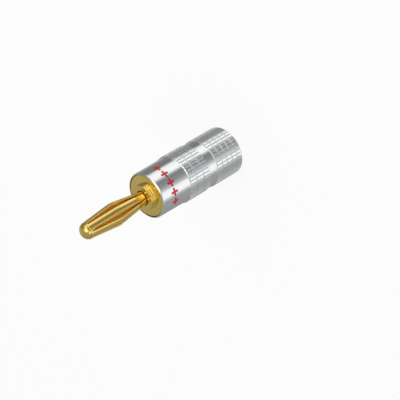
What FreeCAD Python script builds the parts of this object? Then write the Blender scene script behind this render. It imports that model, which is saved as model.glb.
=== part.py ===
import FreeCAD, Part
import math
import os

from FreeCAD import Vector

# Speaker plug with a sprung contact pin, a screw-on metal shell and two clamp screws.
# Millimetres. The plug stands on its cable end: z = 0 is the shell's rear rim, and
# +Z runs along the axis to the tip of the contact pin. -Y is the side that shows.

# Shell, outside
front_radius = 5.0
grip_stand = 0.3
waist_depth = 0.18
rear_edge = 0.2
shoulder_chamfer = 0.25

# Diced grip: two bands of ridges, crossed by rings
grip_ridges = 44
groove_depth = 0.14
ridge_groove_width = 0.28
ring_groove_width = 0.2
grip_lap = 0.3
rear_grip_length = 7.2
rear_grip_columns = 5
waist_length = 2.3
front_grip_length = 5.9
front_grip_columns = 3

# Shell, inside
rim_width = 0.3
seat_width = 0.65
cavity_step = 0.3
thread_engagement = 5.0
cable_bore_radius = 2.85
cable_bore_length = 3.0
entry_cone_depth = 2.0
rear_rim_width = 0.75

# Thread between shell and core: the solids stop at the roots of its two halves
thread_depth = 0.33
thread_clearance = 0.05
core_thread_length = 4.4

# Core
flange_thickness = 0.9
flange_recess = 0.05
flange_clearance = 0.05
boss_radius = 2.85
boss_height = 1.2
boss_edge = 0.12
boss_groove_width = 0.2
boss_groove_depth = 0.1
barrel_clearance = 0.3
barrel_end_gap = 2.5
wire_bore_radius = 1.6
wire_funnel = 0.4
drill_point_angle = 118.0
web_thickness = 2.14
sleeve_recess_depth = 0.75
sleeve_recess_clearance = 0.2

# Clamp screws
screw_radius = 1.5
screw_clearance = 0.05
screw_count = 2
screw_pitch = 4.0
first_screw_height = 2.9
last_screw_margin = 2.1
screw_bore_clearance = 0.03
screw_cavity_clearance = 0.12
screw_tip_chamfer = 0.3
screw_slot_width = 0.5
screw_slot_depth = 0.6

# Centre pin, pressed into the core
rod_radius = 1.1
pin_press_depth = 4.0
pin_lead_in = 0.15
journal_step = 0.3
journal_length = 1.2
head_radius = 1.6
head_land = 0.1
head_length = 1.05

# Lantern sleeve, rolled from sheet and trapped under the pin's head
sleeve_thickness = 0.3
sleeve_running_clearance = 0.05
sleeve_end_play = 0.05
sleeve_bulge_radius = 2.45
bulge_land = 0.5
rear_ring_length = 0.7
rear_run_length = 7.35
front_run_length = 7.2
front_ring_length = 0.3
leaf_count = 6
leaf_rear_width = 1.2
leaf_front_width = 1.4
first_slot_angle = 12.0
seam_gap = 0.12
seam_slot = 1

# How far a cutter stands past the face that it cuts through
overrun = 1.0

# Radii, from the outside in
grip_radius = front_radius + grip_stand
valley_radius = grip_radius - groove_depth
waist_radius = grip_radius - waist_depth
entry_mouth_radius = grip_radius - rear_edge - rear_rim_width
flange_bore_radius = front_radius - rim_width
flange_radius = flange_bore_radius - flange_clearance
shell_thread_radius = flange_bore_radius - seat_width
core_thread_radius = shell_thread_radius - thread_clearance - thread_depth
cavity_radius = shell_thread_radius - cavity_step
barrel_radius = cavity_radius - barrel_clearance
journal_radius = rod_radius + journal_step
rear_inner_radius = rod_radius + sleeve_running_clearance
rear_outer_radius = rear_inner_radius + sleeve_thickness
front_inner_radius = journal_radius + sleeve_running_clearance
front_outer_radius = front_inner_radius + sleeve_thickness
recess_radius = rear_outer_radius + sleeve_recess_clearance

# Heights, from the rear rim to the tip
rear_grip_bottom = rear_edge
rear_grip_top = rear_grip_bottom + rear_grip_length
front_grip_bottom = rear_grip_top + waist_length
front_grip_top = front_grip_bottom + front_grip_length
cavity_floor = entry_cone_depth + cable_bore_length
barrel_end = cavity_floor + barrel_end_gap
wire_bore_top = barrel_end + first_screw_height + (screw_count - 1) * screw_pitch + last_screw_margin
drill_point = wire_bore_radius / math.tan(math.radians(drill_point_angle / 2))
pin_start = wire_bore_top + drill_point + web_thickness
recess_floor = pin_start + pin_press_depth
boss_face = recess_floor + sleeve_recess_depth
flange_face = boss_face - boss_height
flange_seat = flange_face - flange_thickness
shell_length = flange_face + flange_recess
shell_thread_end = flange_seat - thread_engagement
sleeve_start = recess_floor + sleeve_end_play
slots_start = sleeve_start + rear_ring_length
bulge_start = slots_start + rear_run_length
bulge_end = bulge_start + bulge_land
slots_end = bulge_end + front_run_length
sleeve_end = slots_end + front_ring_length
head_seat = sleeve_end + sleeve_end_play
pin_tip = head_seat + head_length

# The rim of a screw's flat outer end is what comes nearest to the shell's round cavity
screw_body_radius = screw_radius - screw_clearance
screw_tip = wire_bore_radius + screw_bore_clearance
screw_end = math.sqrt((cavity_radius - screw_cavity_clearance) ** 2 - screw_body_radius ** 2)
screw_length = screw_end - screw_tip


def at(radius, height):
    return Vector(radius, 0, height)


def outline(start, *steps):
    """A closed face in the XZ half plane. A step is the (radius, height) at the end of
    a straight run, or a pair of them: a point on an arc and the arc's end."""
    edges = []
    here = at(*start)
    for step in steps:
        if isinstance(step[0], tuple):
            there = at(*step[1])
            edges.append(Part.Arc(here, at(*step[0]), there).toShape())
        else:
            there = at(*step)
            edges.append(Part.makeLine(here, there))
        here = there
    edges.append(Part.makeLine(here, at(*start)))
    return Part.Face(Part.Wire(edges))


def turned(start, *steps):
    return outline(start, *steps).revolve(Vector(0, 0, 0), Vector(0, 0, 1), 360)


def about_axis(shape, degrees):
    copy = shape.copy()
    copy.rotate(Vector(0, 0, 0), Vector(0, 0, 1), degrees)
    return copy


def ring_groove(radius, height, width, depth):
    """Steps across a square groove turned into an outer wall, from below to above."""
    low = height - width / 2
    high = height + width / 2
    return [(radius, low), (radius - depth, low), (radius - depth, high), (radius, high)]


def around(radius, degrees, height):
    angle = math.radians(degrees)
    return Vector(radius * math.cos(angle), radius * math.sin(angle), height)


def ridged_ring(bottom, top):
    """One ring of the grip: flat-topped ridges with V grooves between them."""
    pitch = 360 / grip_ridges
    half_groove = math.degrees(ridge_groove_width / 2 / grip_radius)
    corners = []
    for ridge in range(grip_ridges):
        valley = ridge * pitch
        corners.append(around(valley_radius, valley, bottom))
        corners.append(around(grip_radius, valley + half_groove, bottom))
        corners.append(around(grip_radius, valley + pitch - half_groove, bottom))
    corners.append(corners[0])
    return Part.Face(Part.makePolygon(corners)).extrude(Vector(0, 0, top - bottom))


def grip_band(bottom, top, columns):
    """Rings on a bar with one flat under each ridge, bored out to lap the blank."""
    pitch = (top - bottom + ring_groove_width) / columns
    valleys = [around(valley_radius, 360 * ridge / grip_ridges, bottom) for ridge in range(grip_ridges + 1)]
    bar = Part.Face(Part.makePolygon(valleys)).extrude(Vector(0, 0, top - bottom))
    feet = [bottom + column * pitch for column in range(columns)]
    band = bar.fuse([ridged_ring(foot, foot + pitch - ring_groove_width) for foot in feet])
    bore_radius = waist_radius - grip_lap
    bore = Part.makeCylinder(bore_radius, top - bottom + 2 * overrun, Vector(0, 0, bottom - overrun))
    return band.cut(bore)


def barrel_shell():
    blank = turned(
        (cable_bore_radius, entry_cone_depth),
        (entry_mouth_radius, 0),
        (waist_radius - rear_edge, 0),
        (waist_radius, rear_edge),
        (waist_radius, front_grip_top),
        (front_radius, front_grip_top + shoulder_chamfer),
        (front_radius, shell_length),
        (flange_bore_radius, shell_length),
        (flange_bore_radius, flange_seat),
        (shell_thread_radius, flange_seat),
        (shell_thread_radius, shell_thread_end),
        (cavity_radius, shell_thread_end),
        (cavity_radius, cavity_floor),
        (cable_bore_radius, cavity_floor),
    )
    rear_grip = grip_band(rear_grip_bottom, rear_grip_top, rear_grip_columns)
    front_grip = grip_band(front_grip_bottom, front_grip_top, front_grip_columns)
    return blank.fuse([rear_grip, front_grip])


def wire_bore():
    return turned(
        (0, barrel_end - overrun),
        (wire_bore_radius + wire_funnel + overrun, barrel_end - overrun),
        (wire_bore_radius, barrel_end + wire_funnel),
        (wire_bore_radius, wire_bore_top),
        (0, wire_bore_top + drill_point),
    )


def screw_height(index):
    return barrel_end + first_screw_height + index * screw_pitch


def core_body():
    groove_height = flange_face + boss_height / 2
    core = turned(
        (0, barrel_end),
        (barrel_radius, barrel_end),
        (barrel_radius, flange_seat - core_thread_length - (core_thread_radius - barrel_radius)),
        (core_thread_radius, flange_seat - core_thread_length),
        (core_thread_radius, flange_seat),
        (flange_radius, flange_seat),
        (flange_radius, flange_face),
        (boss_radius, flange_face),
        *ring_groove(boss_radius, groove_height, boss_groove_width, boss_groove_depth),
        (boss_radius, boss_face - boss_edge),
        (boss_radius - boss_edge, boss_face),
        (0, boss_face),
    )
    pin_hole = Part.makeCylinder(rod_radius, pin_press_depth + overrun, Vector(0, 0, pin_start))
    recess = Part.makeCylinder(recess_radius, sleeve_recess_depth + overrun, Vector(0, 0, recess_floor))
    screw_holes = [
        Part.makeCylinder(
            screw_radius, barrel_radius + overrun, Vector(0, 0, screw_height(index)), Vector(0, -1, 0)
        )
        for index in range(screw_count)
    ]
    return core.cut([wire_bore(), pin_hole, recess, *screw_holes])


def centre_pin():
    """A rod that thickens to a journal for the sleeve's front ring, under a domed head."""
    journal_start = head_seat - journal_length
    dome_base = head_seat + head_land
    rise = pin_tip - dome_base
    dome_radius = (head_radius ** 2 + rise ** 2) / (2 * rise)
    half_angle = math.asin(head_radius / dome_radius) / 2
    dome_middle = (dome_radius * math.sin(half_angle), pin_tip - dome_radius * (1 - math.cos(half_angle)))
    return turned(
        (0, pin_start),
        (rod_radius - pin_lead_in, pin_start),
        (rod_radius, pin_start + pin_lead_in),
        (rod_radius, journal_start - journal_step),
        (journal_radius, journal_start),
        (journal_radius, head_seat),
        (head_radius, head_seat),
        (head_radius, dome_base),
        (dome_middle, (0, pin_tip)),
    )


def slot_width(radius, height):
    """The gap between two leaves, whose width depends on the height alone."""
    share = (height - slots_start) / (slots_end - slots_start)
    leaf_width = leaf_rear_width + share * (leaf_front_width - leaf_rear_width)
    half_angle = math.pi / leaf_count - math.asin(leaf_width / 2 / radius)
    return 2 * radius * math.sin(half_angle)


def leaf_slot():
    rear = slot_width(rear_outer_radius, slots_start) / 2
    middle = slot_width(sleeve_bulge_radius, (bulge_start + bulge_end) / 2) / 2
    front = slot_width(front_outer_radius, slots_end) / 2
    corners = [
        (-rear, slots_start),
        (rear, slots_start),
        (middle, bulge_start),
        (middle, bulge_end),
        (front, slots_end),
        (-front, slots_end),
        (-middle, bulge_end),
        (-middle, bulge_start),
        (-rear, slots_start),
    ]
    window = Part.Face(Part.makePolygon([Vector(0, y, z) for y, z in corners]))
    return window.extrude(Vector(sleeve_bulge_radius + overrun, 0, 0))


def spring_sleeve():
    inner_bulge_radius = sleeve_bulge_radius - sleeve_thickness
    lantern = turned(
        (rear_inner_radius, sleeve_start),
        (rear_outer_radius, sleeve_start),
        (rear_outer_radius, slots_start),
        (sleeve_bulge_radius, bulge_start),
        (sleeve_bulge_radius, bulge_end),
        (front_outer_radius, slots_end),
        (front_outer_radius, sleeve_end),
        (front_inner_radius, sleeve_end),
        (front_inner_radius, slots_end),
        (inner_bulge_radius, bulge_end),
        (inner_bulge_radius, bulge_start),
        (rear_inner_radius, slots_start),
    )
    slots = [about_axis(leaf_slot(), first_slot_angle + 360 * leaf / leaf_count) for leaf in range(leaf_count)]
    seam = Part.makeBox(
        sleeve_bulge_radius + overrun,
        seam_gap,
        sleeve_end - sleeve_start + 2 * overrun,
        Vector(0, -seam_gap / 2, sleeve_start - overrun),
    )
    seam_angle = first_slot_angle + 360 * seam_slot / leaf_count
    return lantern.cut([*slots, about_axis(seam, seam_angle)])


def clamp_screw(index):
    """A slotted set screw, backed out so that its tip is clear of the wire bore."""
    screw = turned(
        (0, 0),
        (screw_body_radius - screw_tip_chamfer, 0),
        (screw_body_radius, screw_tip_chamfer),
        (screw_body_radius, screw_length),
        (0, screw_length),
    )
    slot = Part.makeBox(
        2 * screw_radius,
        screw_slot_width,
        screw_slot_depth + overrun,
        Vector(-screw_radius, -screw_slot_width / 2, screw_length - screw_slot_depth),
    )
    screw = screw.cut(slot)
    screw.rotate(Vector(0, 0, 0), Vector(1, 0, 0), 90)
    screw.translate(Vector(0, -screw_tip, screw_height(index)))
    return screw


def save(name, shape):
    solid = shape.Solids[0]
    solid.exportStep("parts/" + name + ".step")


os.makedirs("parts", exist_ok=True)
save("barrel_shell", barrel_shell())
save("core_body", core_body())
save("centre_pin", centre_pin())
save("spring_sleeve", spring_sleeve())
for number in range(screw_count):
    save("clamp_screw_" + str(number + 1), clamp_screw(number))
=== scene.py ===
# %% [markdown]
# This lesson dresses a small speaker plug that was first built as solids. The plug stands
# on its cable end: z = 0 is the shell's rear rim, +Z runs up to the tip of the sprung pin,
# and -Y is the side that faces the camera. We start by loading the solids. They keep their
# places, and every shape that we make below either stands for one of them or rides on it.

# %% Load the solids
import math

import bmesh
import bpy
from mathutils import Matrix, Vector


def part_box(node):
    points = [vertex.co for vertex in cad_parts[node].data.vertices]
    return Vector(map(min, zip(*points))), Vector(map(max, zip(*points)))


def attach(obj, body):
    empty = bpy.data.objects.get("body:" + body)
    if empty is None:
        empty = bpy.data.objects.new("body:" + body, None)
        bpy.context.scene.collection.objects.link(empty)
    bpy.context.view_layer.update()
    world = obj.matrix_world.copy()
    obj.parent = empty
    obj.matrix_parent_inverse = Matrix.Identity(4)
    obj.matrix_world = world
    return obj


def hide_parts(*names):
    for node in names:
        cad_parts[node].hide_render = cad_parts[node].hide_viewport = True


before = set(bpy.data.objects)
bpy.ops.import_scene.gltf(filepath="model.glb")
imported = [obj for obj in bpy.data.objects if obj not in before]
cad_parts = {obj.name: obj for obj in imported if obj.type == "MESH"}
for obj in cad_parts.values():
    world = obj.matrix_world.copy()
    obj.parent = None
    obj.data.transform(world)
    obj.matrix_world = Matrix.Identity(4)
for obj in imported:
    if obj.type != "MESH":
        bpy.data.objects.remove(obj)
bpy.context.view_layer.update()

MM = 0.001

# %% [markdown]
# A turned part is fully described by its radii and heights. Many of them can be read from
# the boxes of the solids, so that the dressed plug can't drift away from the CAD. All
# sizes here are in millimetres, because a plug is drawn in millimetres, and they become
# metres only at the moment when a mesh is made.


# %% Read sizes from the frame
def radius_of(node):
    low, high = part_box(node)
    return (high.x - low.x) / 2 / MM


def foot_of(node):
    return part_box(node)[0].z / MM


def top_of(node):
    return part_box(node)[1].z / MM


grip_radius = 5.3
shell_length = top_of("barrel_shell")
flange_radius = radius_of("core_body")
barrel_end = foot_of("core_body")
boss_face = top_of("core_body")
pin_start = foot_of("centre_pin")
pin_tip = top_of("centre_pin")
sleeve_start = foot_of("spring_sleeve")
sleeve_end = top_of("spring_sleeve")
bulge_radius = radius_of("spring_sleeve")
screw_body_radius = radius_of("clamp_screw_1")
print("shell", round(shell_length, 2), "tip", round(pin_tip, 2), "bulge", round(bulge_radius, 2))

# %% [markdown]
# Real turned edges are never knife sharp. A small round on every corner catches the light
# as a thin bright line, which is most of what makes metal look like metal. A Bevel modifier
# could round them, but a lathe part is simpler to round while it is still an outline. Each
# corner of an outline is (radius, height) or (radius, height, round).


# %% Round the corners of an outline
keen_round = 0.03
fine_round = 0.05
light_round = 0.08
plain_round = 0.1
wide_round = 0.15
# Only a straight side longer than this gets the extra points that hold makes
long_side = 0.4
print("rounds from", keen_round, "to", wide_round, "mm")


def softened(corners, steps=3, hold=0.0):
    """The outline's points, with each corner that asks for it replaced by a small arc.

    With hold, an extra point this far from the arc keeps the shading of a long side flat.
    """
    points = []
    for index, corner in enumerate(corners):
        here = Vector(corner[:2])
        size = corner[2] if len(corner) > 2 else 0
        if not size:
            points.append((here.x, here.y))
            continue
        behind = Vector(corners[index - 1][:2]) - here
        beyond = Vector(corners[(index + 1) % len(corners)][:2]) - here
        back, ahead = behind.normalized(), beyond.normalized()
        half = back.angle(ahead) / 2
        centre = here + (back + ahead).normalized() * size / math.sin(half)
        reach = size / math.tan(half)
        first = here + back * reach - centre
        last = here + ahead * reach - centre
        if hold and behind.length > long_side:
            points.append(tuple(here + back * (reach + hold)))
        for step in range(steps + 1):
            ray = first.lerp(last, step / steps).normalized() * size
            points.append((centre.x + ray.x, centre.y + ray.y))
        if hold and beyond.length > long_side:
            points.append(tuple(here + ahead * (reach + hold)))
    return points


# %% [markdown]
# Lathe parts are spun from such an outline. A Screw modifier could do it, but we build the
# rings of points ourselves, because then points on the axis can be one single vertex, and
# the tip of a dome closes without a seam. At the end every normal is turned outwards.


# %% Spin an outline into a mesh
turned_segments = 144
small_segments = 64
nearly_zero = 1e-6


def face_outwards(mesh):
    build = bmesh.new()
    build.from_mesh(mesh)
    bmesh.ops.recalc_face_normals(build, faces=build.faces)
    build.to_mesh(mesh)
    build.free()


def add_to_scene(name, data):
    made = bpy.data.objects.new(name, data)
    bpy.context.scene.collection.objects.link(made)
    return made


def add_object(name, points, faces):
    mesh = bpy.data.meshes.new(name)
    mesh.from_pydata([[v * MM for v in point] for point in points], [], faces)
    face_outwards(mesh)
    return add_to_scene(name, mesh)


def on_circle(radius, angle, height):
    return (radius * math.cos(angle), radius * math.sin(angle), height)


def lathe(name, outline, segments=turned_segments):
    points, rings, faces = [], [], []
    for radius, height in outline:
        if radius < nearly_zero:
            rings.append([len(points)] * segments)
            points.append((0, 0, height))
            continue
        rings.append([len(points) + n for n in range(segments)])
        for n in range(segments):
            points.append(on_circle(radius, 2 * math.pi * n / segments, height))
    for low, high in zip(rings, rings[1:] + rings[:1]):
        for n in range(segments):
            after = (n + 1) % segments
            corners = [low[n], low[after], high[after], high[n]]
            face = list(dict.fromkeys(corners))
            if len(face) > 2:
                faces.append(face)
    return add_object(name, points, faces)


def smooth(piece, degrees=35):
    """Smooth shading, apart from edges that turn by more than this angle."""
    piece.data.shade_smooth()
    piece.data.set_sharp_from_angle(angle=math.radians(degrees))
    return piece


# %% [markdown]
# Two shapes on this plug repeat around its axis: the ridges of the diced grip, 44 of them,
# and the six leaves of the spring. An Array modifier could repeat them too, but it needs an
# extra object to turn about. So both are made once as a thin slice of cake, and this
# Geometry Nodes tree bakes the cake: it puts copies of the slice round the axis, makes
# them real and welds the seams between them. Trees have many nodes, here and in the
# materials, so two helpers come first: one makes a node and one gives it its inputs.


# %% Helpers for nodes
def feed(tree, made, inputs):
    """Give a node its inputs. Each takes a value, a socket, or a node's first output."""
    for label, value in inputs.items():
        if isinstance(value, bpy.types.Node):
            value = value.outputs[0]
        if isinstance(value, bpy.types.NodeSocket):
            tree.links.new(value, made.inputs[label])
        else:
            made.inputs[label].default_value = value
    return made


def node(tree, kind, inputs=None, **settings):
    made = tree.nodes.new(kind)
    for name, value in settings.items():
        setattr(made, name, value)
    return feed(tree, made, inputs or {})


def maths(tree, operation, *values):
    return node(tree, "ShaderNodeMath", dict(enumerate(values)), operation=operation).outputs[0]


# %% A tree that repeats a slice round the axis
def tree_with(name, inputs):
    """A geometry tree and the sockets of its inputs, each a label and a kind."""
    tree = bpy.data.node_groups.new(name, "GeometryNodeTree")
    tree.interface.new_socket("Geometry", in_out="OUTPUT", socket_type="NodeSocketGeometry")
    for label, kind in inputs:
        tree.interface.new_socket(label, in_out="INPUT", socket_type="NodeSocket" + kind)
    return tree, node(tree, "NodeGroupInput").outputs


def end_tree(tree, geometry, finish):
    """Give the geometry its material and make it the tree's result."""
    painted = node(tree, "GeometryNodeSetMaterial", {"Geometry": geometry, "Material": finish})
    node(tree, "NodeGroupOutput", {0: painted})
    return tree


def slices_round_axis():
    tree, given = tree_with(
        "Slices Round The Axis",
        [("Slice", "Geometry"), ("Copies", "Int"), ("Weld Distance", "Float"), ("Finish", "Material")],
    )
    line = {"Count": given["Copies"], "Offset": (0, 0, 0)}
    points = node(tree, "GeometryNodeMeshLine", line, mode="OFFSET")
    index = node(tree, "GeometryNodeInputIndex")
    turn = maths(tree, "MULTIPLY", index, maths(tree, "DIVIDE", 2 * math.pi, given["Copies"]))
    angles = node(tree, "ShaderNodeCombineXYZ", {"Z": turn})
    rotation = node(tree, "FunctionNodeEulerToRotation", {0: angles})
    copying = {"Points": points, "Instance": given["Slice"], "Rotation": rotation}
    copies = node(tree, "GeometryNodeInstanceOnPoints", copying)
    real = node(tree, "GeometryNodeRealizeInstances", {0: copies})
    welding = {"Geometry": real, "Distance": given["Weld Distance"]}
    weld = node(tree, "GeometryNodeMergeByDistance", welding)
    return end_tree(tree, weld, given["Finish"])


slice_tree = slices_round_axis()
print("tree:", slice_tree.name, "with", len(slice_tree.nodes), "nodes")

# %% [markdown]
# A modifier knows its inputs by their identifiers, so this helper looks each one up by its
# label before anything is evaluated. It then turns the result into a plain mesh and removes
# the modifier, which leaves a piece that any other program can read.


# %% Run a tree and keep its result
def applied_mesh(piece):
    """The piece's mesh as its modifiers leave it. The modifiers go."""
    bpy.context.view_layer.update()
    evaluated = piece.evaluated_get(bpy.context.evaluated_depsgraph_get())
    mesh = bpy.data.meshes.new_from_object(evaluated)
    piece.modifiers.clear()
    return mesh


def grown(name, source, tree, **values):
    modifier = source.modifiers.new(tree.name, "NODES")
    modifier.node_group = tree
    for item in tree.interface.items_tree:
        label = item.name.replace(" ", "_")
        if item.in_out == "INPUT" and label in values:
            modifier[item.identifier] = values[label]
    mesh = applied_mesh(source)
    bpy.data.objects.remove(source)
    mesh.name = name
    print(name, "has", len(mesh.polygons), "faces")
    return add_to_scene(name, mesh)


# %% [markdown]
# Now the finishes. Polished metal shows its maker's marks only as a faint change of shine:
# fine rings from the lathe, a little haze where fingers touched it, and hair-thin scratches.
# Image textures could carry them, but noise worked out from the place on the surface needs
# no unwrapping and never shows its pixels. All metals here share the three effects, so each
# one is a shader group that is built once and placed in each material with its own values.


# %% Helpers for shader nodes
def spaced(values):
    """A label has spaces where a keyword has underscores."""
    return {label.replace("_", " "): value for label, value in values.items()}


def shader_group(name, output, **inputs):
    """A shader group with one output, and the sockets of its inputs."""
    group = bpy.data.node_groups.new(name, "ShaderNodeTree")
    group.interface.new_socket(output, in_out="OUTPUT", socket_type="NodeSocketFloat")
    for label, value in spaced(inputs).items():
        socket = group.interface.new_socket(label, in_out="INPUT", socket_type="NodeSocketFloat")
        socket.default_value = value
    return group, node(group, "NodeGroupInput").outputs


def all_of(tree, *masks):
    """1 where every mask is 1."""
    both = masks[0]
    for mask in masks[1:]:
        both = maths(tree, "MULTIPLY", both, mask)
    return both


def on_plug(tree, output="Object"):
    """A point's place on the plug or, with Normal, the way it faces."""
    return node(tree, "ShaderNodeTexCoord").outputs[output]


def axis_distance(tree):
    """Sockets in metres: distance from the plug's axis, height along it, x and y."""
    x, y, z = node(tree, "ShaderNodeSeparateXYZ", {0: on_plug(tree)}).outputs
    square = maths(tree, "ADD", maths(tree, "MULTIPLY", x, x), maths(tree, "MULTIPLY", y, y))
    return maths(tree, "SQRT", square), z, x, y


# %% Shader group for lathe marks
def lathe_marks():
    group, given = shader_group("Lathe Marks", "Height", Marks_Per_Metre=9000.0)
    radius, height, _, _ = axis_distance(group)
    across, along = [maths(group, "MULTIPLY", way, given[0]) for way in (radius, height)]
    rings = node(group, "ShaderNodeCombineXYZ", {"X": across, "Y": along})
    noise = node(group, "ShaderNodeTexNoise", {"Vector": rings, "Scale": 1.0, "Detail": 3.0})
    node(group, "NodeGroupOutput", {"Height": noise})
    return group


marks_group = lathe_marks()
print("shader group:", marks_group.name)


# %% Shader groups for haze and scratches
haze_range = (0.38, 0.68)
# Two sets of scratches, each with how it is turned and how it is squeezed along each axis
scratch_sets = (((0.3, 0.5, 0.9), (18, 1, 1)), ((1.1, -0.4, 0.2), (1, 22, 1)))


def handling_haze():
    group, given = shader_group("Handling Haze", "Haze", Patches_Per_Metre=260.0)
    patches = {"Vector": on_plug(group), "Scale": given[0], "Detail": 5.0, "Roughness": 0.6}
    noise = node(group, "ShaderNodeTexNoise", patches)
    limits = {"From Min": haze_range[0], "From Max": haze_range[1]}
    spread = node(group, "ShaderNodeMapRange", {"Value": noise, **limits})
    node(group, "NodeGroupOutput", {"Haze": spread})
    return group


def hair_scratches():
    group, given = shader_group(
        "Hair Scratches", "Scratch", Scratches_Per_Metre=500.0, Threshold=0.7
    )
    layers = []
    for turn, squeeze in scratch_sets:
        squeezed = {"Vector": on_plug(group), "Rotation": turn, "Scale": squeeze}
        mapping = node(group, "ShaderNodeMapping", squeezed)
        hairs = {"Vector": mapping, "Scale": given["Scratches Per Metre"], "Detail": 1.0}
        noise = node(group, "ShaderNodeTexNoise", hairs)
        layers.append(maths(group, "GREATER_THAN", noise, given["Threshold"]))
    node(group, "NodeGroupOutput", {"Scratch": maths(group, "MAXIMUM", *layers)})
    return group


haze_group = handling_haze()
scratch_group = hair_scratches()
print("shader groups:", haze_group.name, scratch_group.name)

# %% [markdown]
# Between the leaves of the spring we see the rod and the insides of the leaves. No polishing
# wheel reaches them, so their gold is duller. Their colour is also painted a deeper orange:
# painted shade that stands for the shadow and the gold mirrored in gold in these narrow gaps.
# They could be pieces of their own with a second material, but on the real plug they are the
# same metal, so a fourth group finds them by their place and by the way they face.


# %% Shader group for the duller gold and its painted shade
# A side counts as turned away below the first limit, and as upright below the second
outward_limit = 0.3
upright_limit = 0.7


def dull_and_shaded_plating():
    """1 on the rod under the sleeve and on every side of the sleeve but its outer one, where the gold is
    duller and carries painted shade.
    """
    group, given = shader_group(
        "Dull Plating With Painted Shade", "Inside", Rod_Radius=0.001, Rod_Foot=0.0, Rod_Top=0.0
    )
    radius, height, x, y = axis_distance(group)
    rod = maths(group, "LESS_THAN", radius, given["Rod Radius"])
    above = maths(group, "GREATER_THAN", height, given["Rod Foot"])
    below = maths(group, "LESS_THAN", height, given["Rod Top"])
    facing = node(group, "ShaderNodeSeparateXYZ", {0: on_plug(group, "Normal")}).outputs
    along_x = maths(group, "MULTIPLY", facing["X"], x)
    along_y = maths(group, "MULTIPLY", facing["Y"], y)
    outwards = maths(group, "DIVIDE", maths(group, "ADD", along_x, along_y), radius)
    turned_away = maths(group, "LESS_THAN", outwards, outward_limit)
    upright = maths(group, "LESS_THAN", maths(group, "ABSOLUTE", facing["Z"]), upright_limit)
    hidden = maths(group, "MAXIMUM", rod, all_of(group, turned_away, upright))
    node(group, "NodeGroupOutput", {"Inside": all_of(group, hidden, above, below)})
    return group


dull_and_shaded_group = dull_and_shaded_plating()
print("shader group:", dull_and_shaded_group.name)

# %% [markdown]
# Every metal on the plug is the same recipe with other numbers: one colour, a low roughness
# that rises a little with haze and scratches, and a bump that is far too shallow to see as
# relief but bends the reflections like real turning marks. Four materials made by hand would
# look the same, but one function keeps them alike when a value is tried out.


# %% The metal recipe
haze_patches = 240.0
scratches = 420.0
scratch_share = 0.6


def group_node(tree, group, **values):
    return node(tree, "ShaderNodeGroup", spaced(values), node_tree=group)


def mixed_colour(tree, factor, first, second):
    """first where the factor is 0, second where it is 1. Each is a colour or a socket."""
    first, second = [(*side, 1) if isinstance(side, tuple) else side for side in (first, second)]
    inputs = {"Factor": factor, "A": first, "B": second}
    return node(tree, "ShaderNodeMix", inputs, data_type="RGBA").outputs["Result"]


def polished_metal(name, colour, shine, marks, relief_height):
    """shine is the (lowest, highest) roughness, and marks the lathe marks in a metre."""
    material = bpy.data.materials.new(name)
    material.use_nodes = True
    tree = material.node_tree
    haze = group_node(tree, haze_group, Patches_Per_Metre=haze_patches)
    scratch = group_node(tree, scratch_group, Scratches_Per_Metre=scratches)
    wear = maths(tree, "ADD", haze, maths(tree, "MULTIPLY", scratch, scratch_share))
    limits = {"To Min": shine[0], "To Max": shine[1]}
    roughness = node(tree, "ShaderNodeMapRange", {"Value": wear, **limits})
    lathe_rings = group_node(tree, marks_group, Marks_Per_Metre=marks)
    relief = node(tree, "ShaderNodeBump", {"Distance": relief_height * MM, "Height": lathe_rings})
    looks = {"Base Color": (*colour, 1), "Metallic": 1.0, "Roughness": roughness, "Normal": relief}
    feed(tree, tree.nodes["Principled BSDF"], looks)
    return material


# %% Four metals
nickel = (0.86, 0.87, 0.88)
gold = (0.91, 0.69, 0.2)
spring_gold = (0.92, 0.7, 0.21)
steel = (0.56, 0.56, 0.55)
gold_finish = polished_metal("gold_plate", gold, shine=(0.1, 0.2), marks=2500.0, relief_height=0.002)
spring_finish = polished_metal(
    "gold_spring", spring_gold, shine=(0.13, 0.24), marks=3000.0, relief_height=0.003
)
steel_finish = polished_metal(
    "screw_steel", steel, shine=(0.25, 0.4), marks=12000.0, relief_height=0.004
)
shell_finish = polished_metal(
    "polished_shell", nickel, shine=(0.1, 0.2), marks=7000.0, relief_height=0.002
)
metals = (gold_finish, spring_finish, steel_finish, shell_finish)
print("metals:", [metal.name for metal in metals])


# %% Dull the inner gold and paint shade on it
# A deeper orange than the plated gold: painted shade for the gaps between the leaves
painted_shade_gold = (1.0, 0.62, 0.1)
inner_roughness = 0.5
inner_rod_radius = 1.42
inner_rod_ends = (-0.03, 0.05)


def dull_and_shade_inside(material, colour):
    """Where no wheel reaches, the plating is duller, and its deeper colour is painted shade."""
    tree = material.node_tree
    surface = tree.nodes["Principled BSDF"]
    inside = group_node(
        tree,
        dull_and_shaded_group,
        Rod_Radius=inner_rod_radius * MM,
        Rod_Foot=(sleeve_start + inner_rod_ends[0]) * MM,
        Rod_Top=(sleeve_end + inner_rod_ends[1]) * MM,
    )
    polish = surface.inputs["Roughness"].links[0].from_socket
    blend = node(tree, "ShaderNodeMix", {"Factor": inside, "A": polish, "B": inner_roughness})
    # The deeper colour here is painted shade in the narrow gaps
    tint = mixed_colour(tree, inside, colour, painted_shade_gold)
    feed(tree, surface, {"Base Color": tint, "Roughness": blend})


dull_and_shade_inside(gold_finish, gold)
dull_and_shade_inside(spring_finish, spring_gold)
print("inner gold between heights", round(sleeve_start, 2), "and", round(sleeve_end, 2))

# %% [markdown]
# The shell of this plug carries red print that says which conductor it belongs to. Decals or
# a painted picture would do, but here paint is a mask worked out from the place on the
# surface, so it stays sharp at any size. Five plain plus signs, the common sign for the
# positive side, stand in a row round the front of the shell.


# %% Print red plus signs on the shell
marks_below_rim = 3.4
mark_height = shell_length - marks_below_rim
mark_middle = -93.0
mark_spacing = 24.5
mark_count = 5
# Half the length and half the width of a stroke
mark_reach = 0.9
mark_stroke = 0.25
# Paint keeps to surfaces farther from the axis than this, so none of it lands inside
paint_from_radius = 4.9
paint_red = (0.55, 0.02, 0.03)


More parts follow.
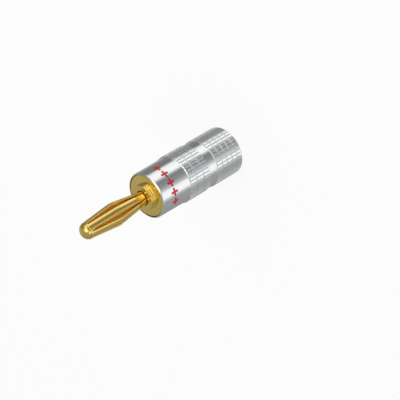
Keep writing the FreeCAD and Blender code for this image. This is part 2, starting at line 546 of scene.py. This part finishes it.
def plus_mask(tree):
    """1 on the red signs, 0 elsewhere. Angles are degrees round the axis from +X."""
    radius, height, x, y = axis_distance(tree)
    angle = maths(tree, "MULTIPLY", maths(tree, "ARCTAN2", y, x), 180 / math.pi)
    first_edge = mark_middle - mark_spacing * mark_count / 2
    steps = maths(tree, "DIVIDE", maths(tree, "SUBTRACT", angle, first_edge), mark_spacing)
    across = maths(tree, "ABSOLUTE", maths(tree, "SUBTRACT", maths(tree, "FRACT", steps), 0.5))
    across = maths(tree, "MULTIPLY", across, math.radians(mark_spacing))
    across = maths(tree, "MULTIPLY", across, radius)
    along = maths(tree, "ABSOLUTE", maths(tree, "SUBTRACT", height, mark_height * MM))
    strokes = []
    for thin_way, long_way in ((across, along), (along, across)):
        thin = maths(tree, "LESS_THAN", thin_way, mark_stroke * MM)
        short = maths(tree, "LESS_THAN", long_way, mark_reach * MM)
        strokes.append(all_of(tree, thin, short))
    sign = maths(tree, "MAXIMUM", *strokes)
    after_first = maths(tree, "GREATER_THAN", steps, 0.0)
    before_last = maths(tree, "LESS_THAN", steps, mark_count)
    outside = maths(tree, "GREATER_THAN", radius, paint_from_radius * MM)
    return all_of(tree, sign, after_first, before_last, outside)


def print_marks(material, paint, metal):
    tree = material.node_tree
    mask = plus_mask(tree)
    tint = mixed_colour(tree, mask, metal, paint)
    bare = maths(tree, "SUBTRACT", 1.0, mask)
    feed(tree, tree.nodes["Principled BSDF"], {"Base Color": tint, "Metallic": bare})


print_marks(shell_finish, paint_red, nickel)
print("plus signs every", mark_spacing, "degrees at height", round(mark_height, 2))

# %% [markdown]
# The shell is the most skilled piece: a turned barrel whose grip is diced by 44 grooves
# along it and by rings across it. The grooves could be cut with 44 Booleans, but seen from
# the end the outer edge is the same ridge 44 times, so one slice from the middle of a ridge
# to the middle of the next is enough. A point's radius is the smaller of two numbers: what
# the lathe left at that height, and what the groove cutter left there.

# %% Sizes of the shell
front_radius = 5.0
front_taper = 0.08
waist_depth = 0.18
waist_radius = grip_radius - waist_depth
groove_depth = 0.14
ridge_count = 44
ridge_groove_width = 0.23
ring_groove_width = 0.24
ring_groove_depth = 0.25
ring_round = 0.08
rear_edge = 0.1
# Each band of the grip: its foot, its top and the middles of its ring grooves
rear_grip = (rear_edge, 7.35, (1.44, 2.94, 4.42, 5.88))
front_grip = (9.65, 15.25, (11.51, 13.51))
shoulder_chamfer = 0.18
rim_chamfer = 0.22
grip_round = 0.035
front_round = 0.12
entry_mouth_radius = 4.35
entry_depth = 2.0
cable_bore_radius = 2.85
cavity_radius = 3.75
cavity_floor = 5.0
thread_bore_radius = 4.05
thread_foot = 17.25
flange_bore_radius = 4.7
flange_seat = 22.25
print("ring grooves:", len(rear_grip[2]), "behind and", len(front_grip[2]), "in front")


# %% The two outlines that meet in the shell
def band_outline(bottom, top, grooves):
    """Rings and the square grooves between them, from the band's foot to its top."""
    half = ring_groove_width / 2
    corners = [(grip_radius, bottom, grip_round)]
    for groove in grooves:
        corners += [
            (grip_radius, groove - half, ring_round),
            (grip_radius - ring_groove_depth, groove - half),
            (grip_radius - ring_groove_depth, groove + half),
            (grip_radius, groove + half, grip_round),
        ]
    return corners + [(grip_radius, top, ring_round)]


def shell_outline():
    shoulder_radius = front_radius + front_taper
    return [
        (cable_bore_radius, entry_depth, wide_round),
        (entry_mouth_radius, 0, light_round),
        (grip_radius - rear_edge, 0, keen_round),
        *band_outline(*rear_grip),
        (waist_radius, rear_grip[1], grip_round),
        (waist_radius, front_grip[0], grip_round),
        *band_outline(*front_grip),
        (shoulder_radius, front_grip[1] + shoulder_chamfer, plain_round),
        (front_radius, shell_length - rim_chamfer, front_round),
        (front_radius - rim_chamfer, shell_length, fine_round),
        (flange_bore_radius, shell_length, keen_round),
        (flange_bore_radius, flange_seat, keen_round),
        (thread_bore_radius, flange_seat, wide_round),
        (thread_bore_radius, thread_foot, fine_round),
        (cavity_radius, thread_foot, plain_round),
        (cavity_radius, cavity_floor, wide_round),
        (cable_bore_radius, cavity_floor, plain_round),
    ]


# From a groove's middle outwards: a share of its half width, and how deep it is there as a
# share of its full depth
groove_shape = (
    (0, 1),
    (0.25, 0.9),
    (0.55, 0.5),
    (0.8, 0.22),
    (1.05, 0.05),
    (1.3, 0),
    (1.5, 0),
)
half_groove = ridge_groove_width / 2
ridge_arc = math.pi * grip_radius / ridge_count
groove_profile = [
    (width * half_groove, grip_radius - depth * groove_depth) for width, depth in groove_shape
]
groove_profile.append((ridge_arc, grip_radius))
print("half a ridge is", round(ridge_arc, 3), "mm wide")


# %% Build one slice and repeat it 44 times
shell_round_steps = 2
shading_hold = 0.03
weld_distance = 0.001 * MM
shell_sharp = 50


def shell_slice():
    stations = [(-arc, radius) for arc, radius in reversed(groove_profile[1:])] + groove_profile
    rows = softened(shell_outline(), steps=shell_round_steps, hold=shading_hold)
    points, faces = [], []
    for row_radius, height in rows:
        for arc, ridge_radius in stations:
            points.append(on_circle(min(row_radius, ridge_radius), arc / grip_radius, height))
    width = len(stations)
    for row in range(len(rows)):
        above = (row + 1) % len(rows)
        for n in range(width - 1):
            corners = (row * width + n, row * width + n + 1, above * width + n + 1, above * width + n)
            faces.append(corners)
    return add_object("shell_slice", points, faces)


shell = grown(
    "shell_turned",
    shell_slice(),
    slice_tree,
    Copies=ridge_count,
    Weld_Distance=weld_distance,
    Finish=shell_finish,
)
smooth(shell, shell_sharp)

# %% [markdown]
# Shell and core are joined by a fine screw thread. It could be a Screw modifier on each
# part, but a thread follows a path, a helix, so Geometry Nodes sweeps a small trapezium
# along a spiral. The same tree makes the male thread of the core, the female thread of the
# shell and the threads of the clamp screws; only its inputs differ. A female thread is one
# whose crest lies inside its root.


# %% A tree that sweeps a thread
steps_in_turn = 48
# The tooth's width at its root and at its crest, as shares of the pitch
tooth_root = 0.8
tooth_crest = 0.16


def thread_tree():
    sizes = [(label, "Float") for label in ("Root Radius", "Crest Radius", "Pitch", "Turns", "Foot")]
    tree, given = tree_with("Screw Thread", [("Geometry", "Geometry"), *sizes, ("Finish", "Material")])
    root, pitch, turns = given["Root Radius"], given["Pitch"], given["Turns"]
    depth = maths(tree, "SUBTRACT", given["Crest Radius"], root)
    path = {"Resolution": steps_in_turn, "Rotations": turns, "Start Radius": root, "End Radius": root}
    path["Height"] = maths(tree, "MULTIPLY", pitch, turns)
    helix = node(tree, "GeometryNodeCurveSpiral", path)
    upright = node(tree, "GeometryNodeSetCurveNormal", {"Curve": helix}, mode="Z_UP")
    trapezium = {
        "Bottom Width": maths(tree, "MULTIPLY", pitch, tooth_root),
        "Top Width": maths(tree, "MULTIPLY", pitch, tooth_crest),
        "Height": maths(tree, "ABSOLUTE", depth),
        "Offset": 0.0,
    }
    tooth = node(tree, "GeometryNodeCurvePrimitiveQuadrilateral", trapezium, mode="TRAPEZOID")
    middle = node(tree, "ShaderNodeCombineXYZ", {"X": maths(tree, "MULTIPLY", depth, -0.5)})
    quarter_turn = maths(tree, "MULTIPLY", maths(tree, "SIGN", depth), math.pi / 2)
    turn = node(tree, "ShaderNodeCombineXYZ", {"Z": quarter_turn})
    standing = {"Geometry": tooth, "Translation": middle, "Rotation": turn}
    profile = node(tree, "GeometryNodeTransform", standing)
    sweeping = {"Curve": upright, "Profile Curve": profile, "Fill Caps": True}
    sweep = node(tree, "GeometryNodeCurveToMesh", sweeping)
    foot = node(tree, "ShaderNodeCombineXYZ", {"Z": given["Foot"]})
    lift = node(tree, "GeometryNodeTransform", {"Geometry": sweep, "Translation": foot})
    real = node(tree, "GeometryNodeRealizeInstances", {0: lift})
    return end_tree(tree, real, given["Finish"])


helix_tree = thread_tree()
print("tree:", helix_tree.name, "with", len(helix_tree.nodes), "nodes")


# %% Sweep the threads of shell and core
thread_sharp = 30
thread_pitch = 0.75
# How far a thread's root is sunk into the part that carries it
bite = 0.03
shell_crest_radius = 3.72
shell_turns = 5.6
shell_lead_in = 0.35
core_thread_radius = 3.67
core_crest_radius = 3.99
core_thread_foot = 17.85
core_turns = 5.2
core_lead_in = 0.12


def thread(name, root, crest, pitch, turns, foot, finish):
    seed = add_object(name + "_seed", [(0, 0, 0)], [])
    made = grown(
        name,
        seed,
        helix_tree,
        Root_Radius=root * MM,
        Crest_Radius=crest * MM,
        Pitch=pitch * MM,
        Turns=turns,
        Foot=foot * MM,
        Finish=finish,
    )
    face_outwards(made.data)
    return smooth(made, thread_sharp)


shell_thread = thread(
    "shell_thread",
    root=thread_bore_radius + bite,
    crest=shell_crest_radius,
    pitch=thread_pitch,
    turns=shell_turns,
    foot=thread_foot + shell_lead_in,
    finish=shell_finish,
)
core_thread = thread(
    "core_thread",
    root=core_thread_radius - bite,
    crest=core_crest_radius,
    pitch=thread_pitch,
    turns=core_turns,
    foot=core_thread_foot + core_lead_in,
    finish=gold_finish,
)
for piece in (shell_thread, core_thread):
    low = min(v.co.z for v in piece.data.vertices) / MM
    high = max(v.co.z for v in piece.data.vertices) / MM
    reach = [math.hypot(v.co.x, v.co.y) / MM for v in piece.data.vertices]
    print(piece.name, round(low, 2), round(high, 2), "radii", round(min(reach), 2), round(max(reach), 2))

# %% [markdown]
# The gold core closes the shell's front with a polished flange and a raised boss that has
# two shallow grooves turned into its wall. Behind the flange it runs back as a thread and a
# thin barrel for the wire. Flange, boss and barrel could be separate cylinders, but the real
# one is a single lathe part, so it is spun from one outline, and the two cross holes for the
# clamp screws are taken out of it with a Boolean.

# %% Sizes of the core
barrel_radius = 3.45
barrel_top = 17.63
barrel_round = 0.25
boss_radius = 2.85
boss_height = 1.2
boss_groove_width = 0.36
boss_groove_depth = 0.13
boss_groove_floor = boss_groove_width / 3
boss_groove_rises = (0.32, 0.82)
flange_face = boss_face - boss_height
flange_back_round = 0.04
flange_front_round = 0.3
wire_bore_radius = 1.6
wire_bore_top = 16.5
wire_funnel = 0.4
drill_point = 0.96
rod_radius = 1.1
sleeve_end_play = 0.05
recess_radius = 1.65
recess_floor = sleeve_start - sleeve_end_play
screw_radius = 1.5
screw_heights = (10.4, 14.4)
print("flange face at height", round(flange_face, 2), "mm")


# %% The outline of the core
def boss_groove(height):
    """A shallow turned groove round the boss, centred on this height."""
    half = boss_groove_width / 2
    half_floor = boss_groove_floor / 2
    return [
        (boss_radius, height - half, keen_round),
        (boss_radius - boss_groove_depth, height - half_floor, keen_round),
        (boss_radius - boss_groove_depth, height + half_floor, keen_round),
        (boss_radius, height + half, keen_round),
    ]


def core_outline():
    lower_groove, upper_groove = [boss_groove(flange_face + rise) for rise in boss_groove_rises]
    return [
        (0, wire_bore_top + drill_point),
        (wire_bore_radius, wire_bore_top, fine_round),
        (wire_bore_radius, barrel_end + wire_funnel, plain_round),
        (wire_bore_radius + wire_funnel, barrel_end, fine_round),
        (barrel_radius, barrel_end, barrel_round),
        (barrel_radius, barrel_top, plain_round),
        (core_thread_radius, core_thread_foot, fine_round),
        (core_thread_radius, flange_seat, plain_round),
        (flange_radius, flange_seat, flange_back_round),
        (flange_radius, flange_face, flange_front_round),
        (boss_radius, flange_face, fine_round),
        *lower_groove,
        *upper_groove,
        (boss_radius, boss_face, plain_round),
        (recess_radius, boss_face, fine_round),
        (recess_radius, recess_floor, fine_round),
        (rod_radius, recess_floor),
        (rod_radius, pin_start),
        (0, pin_start),
    ]


# %% Turn the core and drill it
# How far a cutter stands past the face that it cuts through
overrun = 1.0


def cut(piece, cutter):
    modifier = piece.modifiers.new("cut", "BOOLEAN")
    modifier.operation = "DIFFERENCE"
    modifier.solver = "EXACT"
    modifier.object = cutter
    piece.data = applied_mesh(piece)
    piece.data.name = piece.name
    bpy.data.objects.remove(cutter)


def lay_down(piece, height):
    """Turn a piece from +Z to -Y, about the origin, and lift it to this height."""
    for vertex in piece.data.vertices:
        x, y, z = vertex.co
        vertex.co = (x, -z, y + height * MM)
    piece.data.update()
    return piece


def cross_drill(height):
    reach = barrel_radius + overrun
    outline = [(0, 0), (screw_radius, 0), (screw_radius, reach), (0, reach)]
    return lay_down(lathe("drill", outline, small_segments), height)


def finish_with(piece, material):
    """One material and no other: a Boolean leaves an empty slot behind."""
    piece.data.materials.clear()
    piece.data.materials.append(material)


core = lathe("core_turned", softened(core_outline()))
for height in screw_heights:
    cut(core, cross_drill(height))
finish_with(core, gold_finish)
smooth(core)
print("core faces:", len(core.data.polygons))

# %% [markdown]
# The pin is a rod with a domed head that holds the spring sleeve in place. Half a sphere
# would be the quick way to make the dome, but the real one is flatter: a tight round at the
# rim runs into a wide crown. Two arcs that share a tangent give that without a visible edge.

# %% Sizes of the pin
head_radius = radius_of("centre_pin")
head_seat = sleeve_end + sleeve_end_play
head_land = 0.05
rim_round = 0.5
pin_foot_round = 0.12
journal_radius = 1.4
journal_length = 1.2
journal_start = head_seat - journal_length
dome_steps = 14
print("head", round(2 * head_radius, 2), "mm across")


# %% Turn the pin
def dome():
    """Points over the head, from the rim to the tip, on two arcs that share a tangent."""
    base = head_seat + head_land
    rise = pin_tip - base
    side = head_radius - rim_round
    crown = (side**2 + rise**2 - rim_round**2) / (2 * (rise - rim_round))
    meeting = math.atan2(base - (pin_tip - crown), side)
    points = []
    for step in range(dome_steps):
        angle = meeting * step / dome_steps
        points.append((side + rim_round * math.cos(angle), base + rim_round * math.sin(angle)))
    for step in range(dome_steps):
        angle = meeting + (math.pi / 2 - meeting) * step / dome_steps
        points.append((crown * math.cos(angle), pin_tip - crown + crown * math.sin(angle)))
    return points + [(0, pin_tip)]


pin_outline = softened(
    [
        (0, pin_start),
        (rod_radius, pin_start, pin_foot_round),
        (rod_radius, journal_start - journal_radius + rod_radius, fine_round),
        (journal_radius, journal_start, fine_round),
        (journal_radius, head_seat),
        (head_radius, head_seat, keen_round),
    ]
)
pin = lathe("pin_turned", pin_outline + dome())
finish_with(pin, gold_finish)
smooth(pin)
print("pin faces:", len(pin.data.polygons))

# %% [markdown]
# The spring sleeve is rolled from sheet with six long slots, which leave six leaves that
# bow outwards. The slots could be cut from a bulged tube, but then each leaf would widen
# with the bulge, and real leaves don't: they keep the width of the sheet, so the slots open
# in the middle. So one slice holds one leaf with its share of both end rings, and the tree
# from above repeats it six times.

# %% Sizes of the spring sleeve
sheet = 0.3
leaf_count = 6
leaf_rear_width = 1.2
leaf_front_width = 1.4
rear_ring_radius = 1.45
rear_ring_length = 0.7
rear_run_length = 7.35
bulge_land = 0.5
front_ring_radius = 1.75
front_ring_length = 0.3
slots_start = sleeve_start + rear_ring_length
bulge_middle = slots_start + rear_run_length + bulge_land / 2
slots_end = sleeve_end - front_ring_length
bulge_softness = 0.055
slot_round = 0.08
slot_shares = (0.1, 0.3, 0.6, 1.0)
sheet_edge = 0.13
ring_edge = 0.12
edge_shares = (0.0, 0.08, 0.3, 0.6)
leaf_rows = 48
leaf_columns = 8
print("bulge at height", round(bulge_middle, 2), "mm")


def rolled_over(share):
    """How far a quarter round drops, as a share of its radius, this share in from its foot."""
    return 1 - math.sqrt(1 - (1 - share) ** 2)


# %% The shape of one leaf
def bow_radius(height):
    """The outer radius of the sleeve: straight runs that meet in a soft bulge."""
    if height < bulge_middle:
        ring = rear_ring_radius
        share = max(0.0, (height - slots_start) / (bulge_middle - slots_start))
    else:
        ring = front_ring_radius
        share = max(0.0, (slots_end - height) / (slots_end - bulge_middle))
    straight = share * (1 + bulge_softness)
    over = max(0.0, straight - 1 + bulge_softness)
    return ring + (bulge_radius - ring) * (straight - over * over / (4 * bulge_softness))


def half_width(height):
    """Half the leaf's angle at this height, or half a slice in the end rings."""
    share = (height - slots_start) / (slots_end - slots_start)
    leaf_width = leaf_rear_width + share * (leaf_front_width - leaf_rear_width)
    full = math.pi / leaf_count
    leaf = math.asin(leaf_width / 2 / bow_radius(height))
    inside = min(height - slots_start, slots_end - height)
    if inside <= 0:
        return full
    if inside >= slot_round:
        return leaf
    share = inside / slot_round
    return full - (full - leaf) * math.sqrt(1 - (1 - share) ** 2)


def leaf_heights():
    ends = [ring_edge * share for share in (*edge_shares, 1.0)]
    heights = [sleeve_start + end for end in ends] + [slots_start]
    heights += [slots_start + slot_round * share for share in slot_shares]
    run = slots_end - slots_start - 2 * slot_round
    heights += [slots_start + slot_round + run * step / leaf_rows for step in range(1, leaf_rows)]
    heights += [slots_end - slot_round * share for share in reversed(slot_shares)]
    return heights + [slots_end] + [sleeve_end - end for end in reversed(ends)]


# %% Build one leaf and repeat it six times
def leaf_slice(columns=leaf_columns):
    heights = leaf_heights()
    points, faces = [], []
    for height in heights:
        outer = bow_radius(height)
        half = half_width(height)
        in_leaf = half < math.pi / leaf_count - nearly_zero
        edge = sheet_edge / outer
        flat = half - edge
        angles = [-half + share * edge for share in edge_shares]
        angles += [-flat + 2 * flat * step / columns for step in range(columns + 1)]
        angles += [half - share * edge for share in reversed(edge_shares)]
        # The outer side rolls over at the edges of the leaf and at the ends of the sleeve
        drops = [rolled_over(share) for share in edge_shares]
        drops = drops + [0.0] * (columns + 1) + drops[::-1]
        end_share = min(height - sleeve_start, sleeve_end - height) / ring_edge
        trim = ring_edge * rolled_over(min(end_share, 1.0))
        for angle, drop in zip(angles, drops):
            radius = outer - trim - (drop * sheet_edge if in_leaf else 0.0)
            points.append(on_circle(radius, angle, height))
        # The inner side is plain
        points += [on_circle(outer - sheet, angle, height) for angle in angles]
    width = columns + 1 + 2 * len(edge_shares)
    row_size = 2 * width
    for row in range(len(heights) - 1):
        low, high = row * row_size, (row + 1) * row_size
        for n in range(width - 1):
            faces.append((low + n, low + n + 1, high + n + 1, high + n))
            faces.append((low + width + n, high + width + n, high + width + n + 1, low + width + n + 1))
        # Only between the slots' ends does a leaf have sides of its own
        middle = (heights[row] + heights[row + 1]) / 2
        if slots_start < middle < slots_end:
            faces.append((low, high, high + width, low + width))
            faces.append((low + width - 1, low + row_size - 1, high + row_size - 1, high + width - 1))
    last = (len(heights) - 1) * row_size
    for base in (0, last):
        for n in range(width - 1):
            faces.append((base + n, base + n + 1, base + width + n + 1, base + width + n))
    return add_object("leaf_slice", points, faces)


sleeve = grown(
    "spring_rolled",
    leaf_slice(),
    slice_tree,
    Copies=leaf_count,
    Weld_Distance=weld_distance,
    Finish=spring_finish,
)


# %% Turn the leaves to their places and open the seam
first_slot_angle = 12.0
seam_gap = 0.12
seam_cut_from = 1.0
seam_cut_to = 3.0
sleeve_sharp = 40


def turn_mesh(piece, degrees):
    angle = math.radians(degrees)
    for vertex in piece.data.vertices:
        x, y, z = vertex.co
        vertex.co = (
            x * math.cos(angle) - y * math.sin(angle),
            x * math.sin(angle) + y * math.cos(angle),
            z,
        )
    piece.data.update()


def block(name, low, high):
    """A box between two opposite corners."""
    sides = ((low[0], low[1]), (high[0], low[1]), (high[0], high[1]), (low[0], high[1]))
    points = [(x, y, z) for z in (low[2], high[2]) for x, y in sides]
    faces = [(3, 2, 1, 0), (4, 5, 6, 7), (0, 1, 5, 4), (1, 2, 6, 5), (2, 3, 7, 6), (3, 0, 4, 7)]
    return add_object(name, points, faces)


turn_mesh(sleeve, first_slot_angle + 180 / leaf_count)
face_outwards(sleeve.data)
seam = block(
    "seam_cutter",
    (seam_cut_from, -seam_gap / 2, sleeve_start - overrun),
    (seam_cut_to, seam_gap / 2, sleeve_end + overrun),
)
turn_mesh(seam, first_slot_angle + 360 / leaf_count)
cut(sleeve, seam)
finish_with(sleeve, spring_finish)
smooth(sleeve, sleeve_sharp)
print("sleeve faces:", len(sleeve.data.polygons))

# %% [markdown]
# Two slotted set screws clamp the wire. One could be copied to make the other, but each is
# a piece of its own that moves by itself, so a function makes both. A screw is a short lathe
# part lying along -Y with a slot cut across its outer end, and its thread is swept by the
# same tree as the big ones.

# %% Make the clamp screws
screw_root = 1.24
screw_pitch = 0.5
screw_bite = 0.02
screw_lead_in = 0.45
screw_lead_out = 0.3
tip_chamfer = 0.3
driver_slot_width = 0.5
driver_slot_depth = 0.6
driver_slot_reach = 2.0


def clamp_screw(number, height):
    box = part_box("clamp_screw_" + str(number))
    start, end = -box[1].y / MM, -box[0].y / MM
    outline = [
        (0, start),
        (screw_root - tip_chamfer, start, fine_round),
        (screw_root, start + tip_chamfer, fine_round),
        (screw_root, end, light_round),
        (0, end),
    ]
    screw = lathe("screw_" + str(number) + "_turned", softened(outline), small_segments)
    slot_cutter = block(
        "slot_cutter",
        (-driver_slot_reach, -driver_slot_width / 2, end - driver_slot_depth),
        (driver_slot_reach, driver_slot_width / 2, end + overrun),
    )
    cut(screw, slot_cutter)
    ridge = thread(
        "screw_" + str(number) + "_thread",
        root=screw_root - screw_bite,
        crest=screw_body_radius,
        pitch=screw_pitch,
        turns=(end - start - screw_lead_in - screw_lead_out) / screw_pitch,
        foot=start + screw_lead_in,
        finish=steel_finish,
    )
    lay_down(screw, height)
    lay_down(ridge, height)
    finish_with(screw, steel_finish)
    return smooth(screw), ridge


screws = [clamp_screw(number + 1, height) for number, height in enumerate(screw_heights)]
print("clamp screws at heights", screw_heights)

# %% [markdown]
# Each new piece now takes the place of its solid and rides on that solid's body, so that it
# follows when the plug is unscrewed. It could be parented by hand, but these calls also hide
# the solid that a piece stands for.


# %% Put every piece on its body
def place(piece, body, slot, *stands_for):
    if stands_for:
        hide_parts(*stands_for)
    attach(piece, body)


place(shell, "shell", "polished_shell", "barrel_shell")
place(shell_thread, "shell", "polished_shell")
place(core, "core", "gold_plate", "core_body")
place(core_thread, "core", "gold_plate")
place(pin, "core", "gold_plate", "centre_pin")
place(sleeve, "sleeve", "gold_spring", "spring_sleeve")
for number, (screw, ridge) in enumerate(screws):
    body = ("lower_screw", "upper_screw")[number]
    place(screw, body, "screw_steel", "clamp_screw_" + str(number + 1))
    place(ridge, body, "screw_steel")

# %% [markdown]
# Polished metal has no look of its own: it shows the room. The room could be a photograph of
# a studio wrapped round the scene, but a few soft panels are easier to move until the bands
# of light fall where they should, so this sky is worked out from the direction alone. Bright
# and dark panels stand all round, up to about 40 degrees above the horizon. Over them is a
# dim ceiling with one round lamp in front. Only reflections see all this. The camera sees
# plain white, and the soft light that falls on every surface is even.

# %% Sizes of the studio
# Degrees round the plug from the side that shows, and how bright the panel is there
panel_angles = [
    (-180, 0.42),
    (-152, 0.48),
    (-128, 0.24),
    (-92, 0.2),
    (-70, 1.05),
    (-46, 1.1),
    (-22, 0.23),
    (2, 0.3),
    (18, 0.5),
    (34, 1.05),
    (52, 1.1),
    (80, 0.36),
    (150, 0.32),
    (180, 0.42),
]
# Elevations in degrees between which the panels fade into the ceiling
panel_top = (38.0, 48.0)
ceiling_level = 0.4
lamp_azimuth = -20.0
lamp_elevation = 60.0
# The lamp's radius and half the width of its soft rim, in degrees of sky
lamp_spread = 25.0
lamp_fade = 7.0
lamp_level = 1.4
even_level = 0.8
print("panels:", len(panel_angles))


# %% Panels, ceiling and lamp
def smooth_step(tree, value, start, end):
    limits = {"Value": value, "From Min": start, "From Max": end}
    return node(tree, "ShaderNodeMapRange", limits, interpolation_type="SMOOTHSTEP")


def panels_and_ceiling(tree, direction):
    x, y, z = node(tree, "ShaderNodeSeparateXYZ", {0: direction}).outputs
    angle = maths(tree, "ARCTAN2", maths(tree, "MULTIPLY", x, -1.0), maths(tree, "MULTIPLY", y, -1.0))
    share = maths(tree, "ADD", maths(tree, "DIVIDE", angle, 2 * math.pi), 0.5)
    panels = node(tree, "ShaderNodeValToRGB", {0: share})
    panels.color_ramp.interpolation = "EASE"
    stops = panels.color_ramp.elements
    while len(stops) < len(panel_angles):
        stops.new(0.5)
    for stop, (degrees, value) in zip(stops, panel_angles):
        stop.position = (degrees + 180) / 360
        stop.color = (value, value, value, 1)
    low, high = [math.sin(math.radians(elevation)) for elevation in panel_top]
    return mixed_colour(tree, smooth_step(tree, z, low, high), panels, (ceiling_level,) * 3)


def overhead_lamp(tree, direction):
    """1 on the lamp, 0 elsewhere."""
    azimuth, elevation = math.radians(lamp_azimuth), math.radians(lamp_elevation)
    lamp_ray = (
        -math.sin(azimuth) * math.cos(elevation),
        -math.cos(azimuth) * math.cos(elevation),
        math.sin(elevation),
    )
    rays = {0: direction, 1: lamp_ray}
    near_lamp = node(tree, "ShaderNodeVectorMath", rays, operation="DOT_PRODUCT")
    rim = math.cos(math.radians(lamp_spread + lamp_fade))
    middle = math.cos(math.radians(lamp_spread - lamp_fade))
    return smooth_step(tree, near_lamp.outputs["Value"], rim, middle)


# %% Who sees which part of the studio
white = (1, 1, 1, 1)


def background(tree, colour, strength=1.0):
    return node(tree, "ShaderNodeBackground", {"Color": colour, "Strength": strength})


def mixed_shader(tree, factor, first, second):
    return node(tree, "ShaderNodeMixShader", {0: factor, 1: first, 2: second})


def studio_sky():
    world = bpy.data.worlds.new("studio")
    world.use_nodes = True
    bpy.context.scene.world = world
    tree = world.node_tree
    tree.nodes.clear()
    direction = node(tree, "ShaderNodeTexCoord").outputs["Generated"]
    walls = panels_and_ceiling(tree, direction)
    room = mixed_colour(tree, overhead_lamp(tree, direction), walls, (lamp_level,) * 3)
    path = node(tree, "ShaderNodeLightPath").outputs
    even = background(tree, white, even_level)
    reflections = mixed_shader(tree, path["Is Glossy Ray"], even, background(tree, room))
    seen = mixed_shader(tree, path["Is Camera Ray"], reflections, background(tree, white))
    node(tree, "ShaderNodeOutputWorld", {"Surface": seen})
    return world


print("sky:", studio_sky().name)

# %% [markdown]
# The floor is a pale sheet that keeps the plug's soft shadow. A shadow catcher could do
# that, but its picture then has to be laid over white in a second step. For the camera most
# of the sheet's white is its own glow, so the picture's ground stays white; from below it is
# clear, so that the underside can be looked at. Reflections look past it at the panels.


# %% Floor
paper_white = 0.9
glow_share = 0.88
floor_half = 3000
floor_drop = 0.02


def floor_finish():
    material = bpy.data.materials.new("pale_floor")
    material.use_nodes = True
    tree = material.node_tree
    tree.nodes.clear()
    paper = node(tree, "ShaderNodeBsdfDiffuse", {"Color": (paper_white, paper_white, paper_white, 1)})
    glow = node(tree, "ShaderNodeEmission", {"Color": white})
    to_camera = node(tree, "ShaderNodeLightPath").outputs["Is Camera Ray"]
    lit = mixed_shader(tree, maths(tree, "MULTIPLY", to_camera, glow_share), paper, glow)
    behind = node(tree, "ShaderNodeNewGeometry").outputs["Backfacing"]
    sides = mixed_shader(tree, behind, lit, node(tree, "ShaderNodeBsdfTransparent"))
    node(tree, "ShaderNodeOutputMaterial", {"Surface": sides})
    return material


corners = [(-floor_half, -floor_half), (floor_half, -floor_half)]
corners += [(floor_half, floor_half), (-floor_half, floor_half)]
floor = add_object("floor", [(x, y, -floor_drop) for x, y in corners], [(0, 1, 2, 3)])
if floor.data.polygons[0].normal.z < 0:
    floor.data.flip_normals()
floor.data.materials.append(floor_finish())
floor.visible_glossy = False
print("floor", 2 * floor_half * MM, "metres wide")

# %% [markdown]
# One large, weak area light gives the floor's shadow a direction. A small lamp would draw a
# hard shadow, and metal would show it as a hot spot, so this one is big and reflections
# don't see it.

# %% Softbox
softbox_size = 0.25
softbox_energy = 0.12
softbox_place = Vector((0.12, -0.1, 0.3))
softbox = bpy.data.lights.new("softbox", "AREA")
softbox.size = softbox_size
softbox.energy = softbox_energy
softbox_object = add_to_scene("softbox", softbox)
softbox_object.location = softbox_place
softbox_object.rotation_euler = (-softbox_place).to_track_quat("-Z", "Y").to_euler()
softbox_object.visible_glossy = False
print("softbox", round(softbox_place.length, 2), "metres from the plug")

# %% [markdown]
# The camera stands where the photographer's did. It could be placed by eye, but a few pixels
# of error would spoil every comparison, so its place was worked out from the ellipses of the
# shell and the length of the plug in the picture. The plug stands upright in this file, so
# the camera is rolled until the pin points down and to the left.

# %% Camera
picture_width_px = 400
focal_length_px = 1402.68
sensor_width_mm = 36.0
camera_place_mm = (-6.347, -232.208, 184.317)
camera_turn_degrees = (-35.0913, 43.2963, -135.6965)
nearest_m = 0.01
camera = bpy.data.cameras.new("camera")
camera.sensor_width = sensor_width_mm
camera.lens = focal_length_px / picture_width_px * camera.sensor_width
camera.clip_start = nearest_m
camera_object = add_to_scene("camera", camera)
camera_object.location = Vector(camera_place_mm) * MM
camera_object.rotation_euler = [math.radians(turn) for turn in camera_turn_degrees]
bpy.context.scene.camera = camera_object
bpy.context.scene.view_settings.view_transform = "Standard"
print("lens:", round(camera.lens, 1), "mm")
